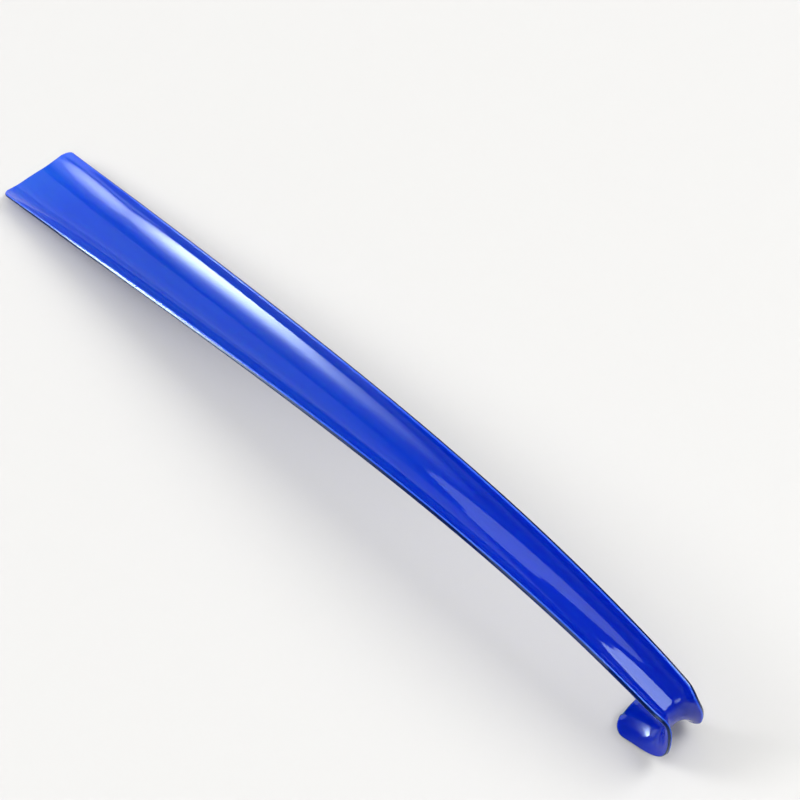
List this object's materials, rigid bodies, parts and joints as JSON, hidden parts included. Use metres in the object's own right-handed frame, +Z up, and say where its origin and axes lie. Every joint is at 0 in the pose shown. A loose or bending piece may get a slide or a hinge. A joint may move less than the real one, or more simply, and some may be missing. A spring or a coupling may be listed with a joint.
{
  "type": "long shoehorn",
  "caption": "Long-handled shoehorn: a shallow curved channel, wide at the blade and narrowing along a gentle arch to a hook that turns back under itself and flares into a foot.",
  "frame": {"origin": "on the table the part lies on, under the middle of its box", "axes": "+X from the blade's end to the hook, +Y across the channel, +Z up, with the channel open upwards"},
  "size_m": [0.421, 0.041, 0.0435],
  "materials": {
    "blue_plastic": "high gloss, slightly see-through where the wall is thin"
  },
  "bodies": {
    "root": {"shoehorn": "blue_plastic"}
  },
  "joints": []
}
